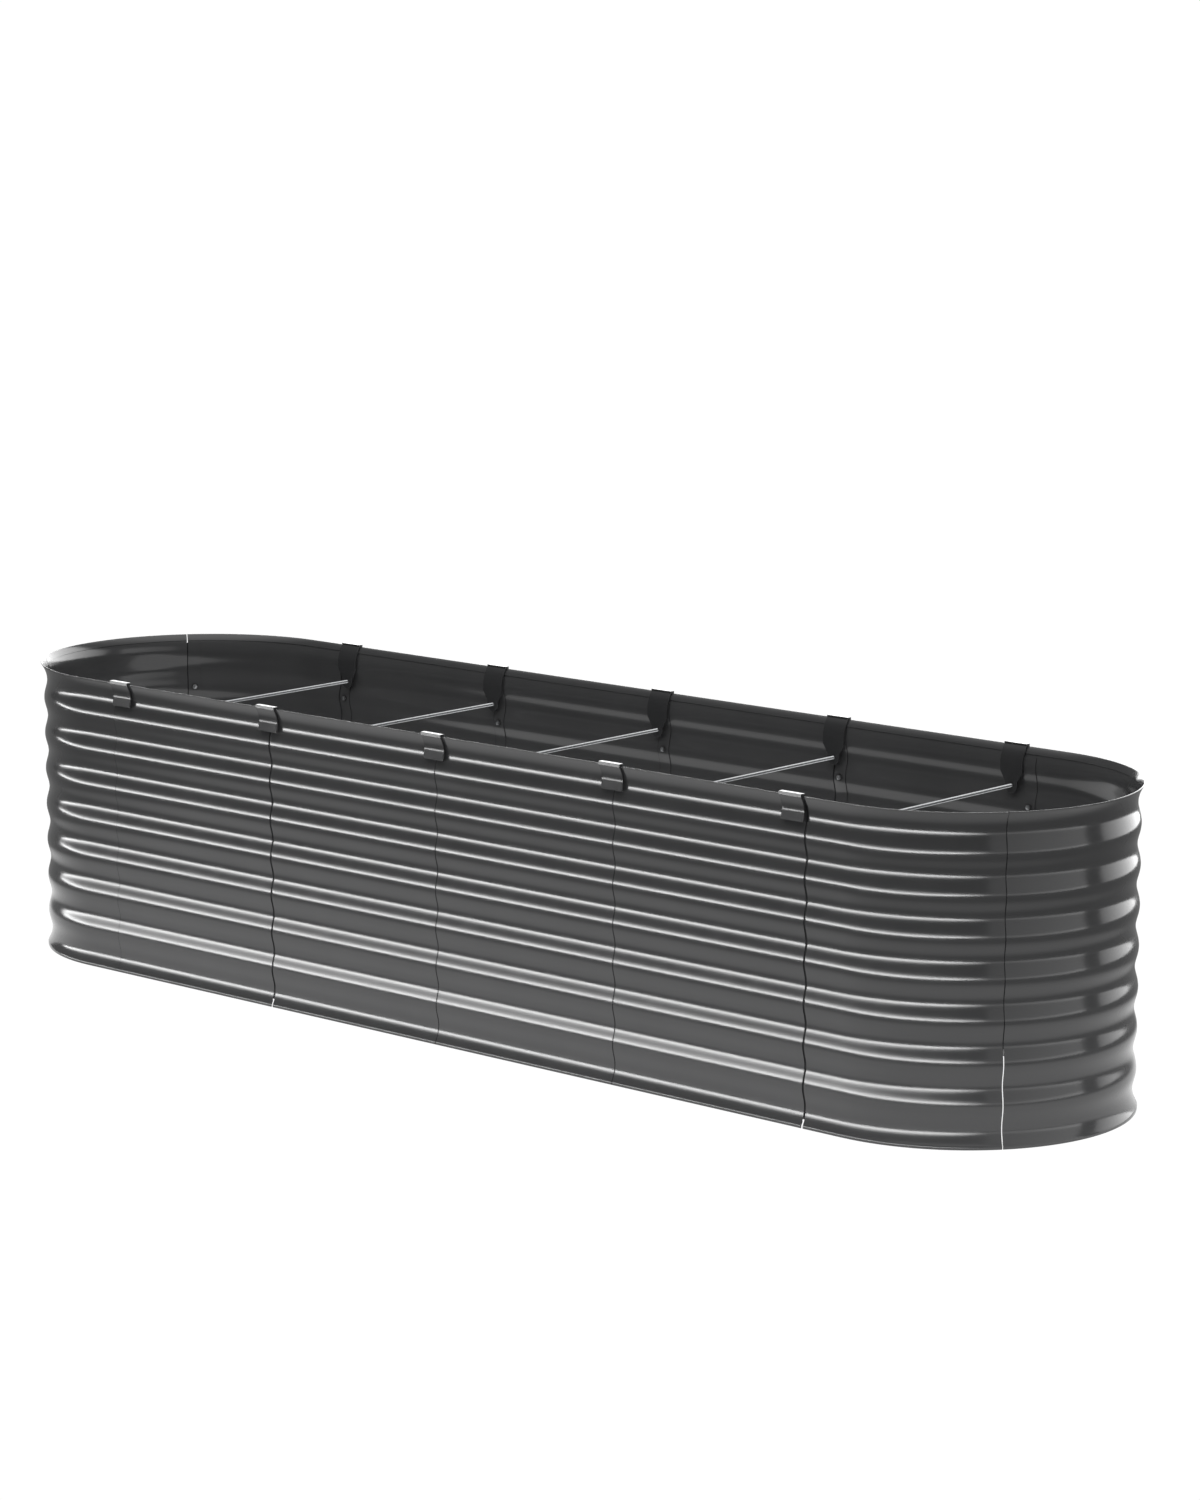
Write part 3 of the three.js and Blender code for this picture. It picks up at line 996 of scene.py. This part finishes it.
@dataclass
class Fastening:
    """Threaded tie rods with their nuts, and the studs and nuts inside each seam."""

    plan: Plan
    section: SheetSection
    rod: float = 6.0
    rod_root: float = 4.9
    thread_pitch: float = 1.0
    rod_length: float = 589.8
    rod_sides: int = 12
    rod_play: float = 0.3
    chamfer: float = 0.7
    chamfer_share: float = 0.86
    nut_flats: float = 10.0
    nut_thickness: float = 3.2
    nut_face: float = -8.3
    nut_blank: float = 1.005
    nut_chamfer: float = 0.11
    stud_inset: float = 12.5
    stud: float = 5.0
    stud_play: float = 0.1
    stud_proud: float = 0.9
    stud_chamfer: float = 0.5
    stud_rows: int = 4
    washer: float = 13.0
    washer_thickness: float = 1.2
    washer_round: float = 0.35
    seam_nut_flats: float = 8.0
    seam_nut_thickness: float = 2.9
    lap_back: float = 2.0
    sharp: float = 50.0
    zinc: BrightZinc = BrightZinc()
    rubber: BlackRubber = BlackRubber()
    zinc_material: Material = field(init=False)

    def __post_init__(self) -> None:
        """Build the plating that rods, nuts and studs share."""
        self.zinc_material = self.zinc.material()

    def hex_nut(self, flats: float, thickness: float, bore: float) -> Piece:
        """Model a chamfered hexagon nut that stands on z = 0.

        Args:
            flats: Width across its flats, in millimetres.
            thickness: Its height.
            bore: Diameter of its hole.

        Returns:
            The nut.
        """
        corner = flats / math.sqrt(3)
        middle = (0, 0, thickness / 2)
        nut = cylinder(corner, thickness, 6, middle, (0, 0, math.pi / 6))
        blank = cylinder(corner * self.nut_blank, thickness, 30, middle)
        round_edges(blank, self.nut_chamfer * flats, self.sharp)
        carve(nut, blank, "INTERSECT")
        carve(nut, cylinder(bore / 2, 4 * thickness, 24, middle))
        smooth(nut, 24)
        nut.data.materials.clear()
        nut.data.materials.append(self.zinc_material)
        return nut

    def tie_rod(self) -> Piece:
        """Model a threaded rod along Y, over X = 0, from one turn of its thread."""
        clear_bench()
        pitch = self.thread_pitch
        turns = int((self.rod_length - 2 * self.chamfer) / pitch)
        thread_end = turns * pitch / 2
        bpy.ops.mesh.primitive_circle_add(vertices=self.rod_sides, radius=self.rod_root / 2 * MM,
                                          location=(0, 0, -thread_end * MM), enter_editmode=True)
        grow = self.rod / self.rod_root
        for size in (grow, 1 / grow):
            pull(Vector((0, 0, pitch / 2 * MM)))
            widen(size, size)
        bpy.ops.object.mode_set(mode="OBJECT")
        rod = settle(bpy.context.object)
        apply_modifier(rod, "ARRAY", count=turns, use_relative_offset=False,
                       use_constant_offset=True, constant_offset_displace=(0, 0, pitch * MM),
                       use_merge_vertices=True, merge_threshold=WELD)
        for end in (-1, 1):
            pick(rod, lambda v, end=end: at(v.z, end * thread_end, pitch / 10))
            pull(Vector((0, 0, end * (self.rod_length / 2 - thread_end) * MM)))
            widen(self.chamfer_share, self.chamfer_share)
            bpy.ops.mesh.edge_face_add()
        clean_normals(rod, lambda place: Vector((place.x, place.y, 0)))
        rod.data.transform(shift(0, 0, self.section.rod_height) @ Matrix.Rotation(math.pi / 2, 4, "X"))
        smooth(rod, self.sharp)
        rod.data.materials.append(self.zinc_material)
        return rod

    def build_ties(self) -> None:
        """Place five rods and their ten nuts."""
        rod = self.tie_rod()
        nut = self.hex_nut(self.nut_flats, self.nut_thickness, self.rod + self.rod_play)
        seat = shift(0, -(self.plan.crest_radius + self.nut_face), self.section.rod_height)
        upright = seat @ Matrix.Rotation(math.pi / 2, 4, "X")
        for i, x in enumerate(self.plan.tie_places()):
            node = f"tie_rod_{i + 1}"
            hand_over(copy_of(rod, f"{node}_thread", shift(x)), node)
            for side in Side:
                node = f"{side.value}_nut_{i + 1}"
                place = shift(x) @ side.turn @ upright
                hand_over(copy_of(nut, f"{node}_hex", place), node)
        discard(rod, nut)

    def rounded_disc(self, width: float, height: float, sides: int, edge: float,
                     finish: Material) -> Piece:
        """Model a disc or a short bar with broken edges that stands on z = 0.

        Args:
            width: Its diameter, in millimetres.
            height: Its height.
            sides: How many flats it has round it.
            edge: Width of its broken edges.
            finish: Its material.

        Returns:
            The disc.
        """
        disc = cylinder(width / 2, height, sides, (0, 0, height / 2))
        round_edges(disc, edge, self.sharp)
        smooth(disc, 35)
        disc.data.materials.append(finish)
        return disc

    def seam_fastener(self) -> Piece:
        """Model a rubber washer, a nut and a stud's end, standing on z = 0."""
        washer = self.rounded_disc(self.washer, self.washer_thickness, 28, self.washer_round,
                                   self.rubber.material())
        nut = self.hex_nut(self.seam_nut_flats, self.seam_nut_thickness, self.stud + self.stud_play)
        nut.data.transform(shift(0, 0, self.washer_thickness))
        reach = self.washer_thickness + self.seam_nut_thickness + self.stud_proud
        stud = self.rounded_disc(self.stud, reach, 20, self.stud_chamfer, self.zinc_material)
        return join_all([washer, nut, stud])

    def seam_set(self, fastener: Piece, name: str, heights: list[float]) -> Piece:
        """Stack fasteners at the valleys of one seam, on the front side at X = 0.

        Args:
            fastener: The pattern, standing on z = 0.
            name: The set's name.
            heights: The valleys' heights, in millimetres.

        Returns:
            The joined set.
        """
        back = -(self.plan.crest_radius - self.section.depth - self.lap_back)
        lay = Matrix.Rotation(-math.pi / 2, 4, "X")
        return join_all([copy_of(fastener, name, shift(0, back, z) @ lay) for z in heights])

    def build_seams(self) -> None:
        """Place a set of fasteners inside each seam."""
        fastener = self.seam_fastener()
        pitch = self.section.pitch
        heights = [pitch / 2 + 2 * row * pitch for row in reversed(range(self.stud_rows))]
        side_set = self.seam_set(fastener, "side_seam", heights)
        end_set = self.seam_set(fastener, "end_seam", heights[:-1])
        swing = math.degrees(self.stud_inset / self.plan.crest_radius)
        places = []
        for side in Side:
            for i in range(self.plan.side_panels + 1):
                x = self.plan.first_seam + i * self.plan.side_pitch - self.stud_inset
                places.append((side_set, side.turn @ shift(x)))
            for seam in (self.plan.end_seam, 180 - self.plan.end_seam):
                round_end = self.plan.round_end(seam - swing) @ shift(self.plan.half)
                places.append((end_set, side.turn @ round_end))
        for number, (pattern, place) in enumerate(places, start=1):
            hand_over(copy_of(pattern, f"seam_fasteners_{number}", place))
        discard(fastener, side_set, end_set)

    def build(self) -> None:
        """Build every rod, nut and seam fastener."""
        self.build_ties()
        self.build_seams()


@dataclass(frozen=True)
class Card:
    """An upright glowing card: where its middle foot stands, its size, facing and brightness.

    All in metres and degrees. `glow` lists (height share, brightness) from its foot to its top.
    `sides` multiplies it, from the card's own left edge to its right edge.
    """

    name: str
    foot: Triple
    width: float
    height: float
    facing: float
    glow: tuple[Pair, ...]
    sides: Pair = (1.0, 1.0)


@dataclass(frozen=True)
class Studio:
    """Pale floor, soft light and the camera, in metres and degrees."""

    plan: Plan
    camera_place: Triple = (5.2196, -5.6624, 1.8945)
    camera_pitch: float = 10.375
    camera_turn: float = 42.017
    sensor: float = 36.0
    focal_share: float = 4384 / 1500
    floor_size: float = 60.0
    floor_fade: Pair = (0.55, 1.0)
    floor_light: Pair = (1.1, 0.25)
    sky_fade: Pair = (0.5, 0.8)
    sky_light: Pair = (0.1, 1.7)
    white: float = 1.02
    strip: tuple[Pair, ...] = (
        (0.0, 12.0), (0.15, 18.0), (0.31, 18.0), (0.42, 12.0), (0.55, 6.0), (0.73, 2.8),
        (0.82, 1.6), (0.9, 0.2), (1.0, 0.0),
    )
    right_glow: tuple[Pair, ...] = ((0.0, 3.0), (0.1, 3.0), (0.16, 1.3), (0.9, 1.3), (1.0, 0.0))
    back_glow: tuple[Pair, ...] = ((0.0, 5.0), (0.9, 5.0), (1.0, 0.0))

    def cards(self) -> list[Card]:
        """The glowing cards: a low strip in front, and soft walls to the right and behind."""
        strip = self.strip
        back = self.back_glow
        return [
            Card("front_strip", (-3.3, -2.2, 0.10), 11.4, 0.55, 180.0, strip),
            Card("front_strip_far", (-14.5, -2.2, 0.10), 11.0, 0.55, 180.0, strip, (1.0, 0.3)),
            Card("front_strip_end", (3.3, -2.2, 0.10), 1.8, 0.55, 180.0, strip, (0.1, 1.0)),
            Card("right_wall", (4.3, -0.1, 0.0), 4.4, 2.6, 90.0, self.right_glow, (0.4, 1.0)),
            Card("back_wall", (-3.75, 4.0, 0.0), 6.5, 3.0, 0.0, back),
            Card("back_wall_end", (2.1, 4.0, 0.0), 5.2, 3.0, 0.0, back, (1.0, 0.26)),
        ]

    def build_camera(self) -> None:
        """Set the camera at the photograph's angle."""
        data = bpy.data.cameras.new("photo_camera")
        data.lens = self.focal_share * self.sensor
        data.sensor_width = self.sensor
        camera = bpy.data.objects.new("photo_camera", data)
        camera.location = self.camera_place
        camera.rotation_euler = (math.radians(90 - self.camera_pitch), 0, math.radians(self.camera_turn))
        bpy.context.collection.objects.link(camera)
        bpy.context.scene.camera = camera
        bpy.context.scene.view_settings.view_transform = "Standard"

    def build_card(self, card: Card) -> None:
        """Stand one glowing card.

        Args:
            card: The card's place, size and glow.
        """
        clear_bench()
        x, y, z = card.foot
        bpy.ops.mesh.primitive_plane_add(size=1, location=(x, y, z + card.height / 2),
                                         rotation=(math.pi / 2, 0, math.radians(card.facing)))
        plane = bpy.context.object
        plane.scale = (card.width, card.height, 1)
        plane.name = card.name
        bench = NodeBench(bpy.data.materials.new(card.name))
        split = bench.add("ShaderNodeSeparateXYZ", vector=bench.place["UV"]).outputs
        peak = max(level for _, level in card.glow)
        stops = [(share, (level / peak,) * 3) for share, level in card.glow]
        across = bench.add("ShaderNodeMapRange", value=split["X"], to_min=peak * card.sides[0],
                           to_max=peak * card.sides[1])
        plane.data.materials.append(bench.shade("ShaderNodeEmission",
                                                color=bench.ramp(split["Y"], stops),
                                                strength=across.outputs["Result"]))
        plane.visible_camera = False
        plane.visible_shadow = False
        plane.visible_diffuse = False

    def build_floor(self) -> None:
        """Lay the pale floor. It is brightest round the bed, and plain white to the eye."""
        clear_bench()
        bpy.ops.mesh.primitive_plane_add(size=self.floor_size, location=(0, 0, 0))
        floor = bpy.context.object
        floor.name = "floor"
        bench = NodeBench(bpy.data.materials.new("pale_floor"))
        split = bench.add("ShaderNodeSeparateXYZ", vector=bench.place["Object"]).outputs
        along = bench.maths("ABSOLUTE", split["X"], 0.0)
        along = bench.maths("SUBTRACT", along, self.plan.half * MM)
        along = bench.maths("MAXIMUM", along, 0.0)
        flat = bench.add("ShaderNodeCombineXYZ", x=along, y=split["Y"]).outputs["Vector"]
        away = bench.add("ShaderNodeVectorMath", operation="LENGTH", vector=flat).outputs["Value"]
        light = bench.to_eye(bench.fade(away, self.floor_fade, self.floor_light), self.white)
        floor.data.materials.append(bench.shade("ShaderNodeEmission", strength=light))

    def build_world(self) -> None:
        """White to the eye; to the bed, a soft light from overhead that fades to the sides."""
        world = bpy.data.worlds.new("studio")
        bpy.context.scene.world = world
        bench = NodeBench(world)
        split = bench.add("ShaderNodeSeparateXYZ", vector=bench.place["Generated"]).outputs
        light = bench.to_eye(bench.fade(split["Z"], self.sky_fade, self.sky_light), self.white)
        glow = bench.add("ShaderNodeBackground", color=(1.0, 1.0, 1.0, 1.0), strength=light)
        bench.add("ShaderNodeOutputWorld", surface=glow.outputs["Background"])

    def build(self) -> None:
        """Build the camera, the floor, the lights and the world."""
        self.build_camera()
        self.build_floor()
        for card in self.cards():
            self.build_card(card)
        self.build_world()


def main() -> None:
    """Build the studio and the bed, piece by piece."""
    logging.basicConfig(level=logging.INFO, format="%(message)s")
    plan = Plan()
    section = SheetSection()
    Studio(plan).build()
    PanelRing(plan, section).build()
    StrapHooks(plan, section).build()
    Fastening(plan, section).build()


if __name__ == "__main__":
    main()
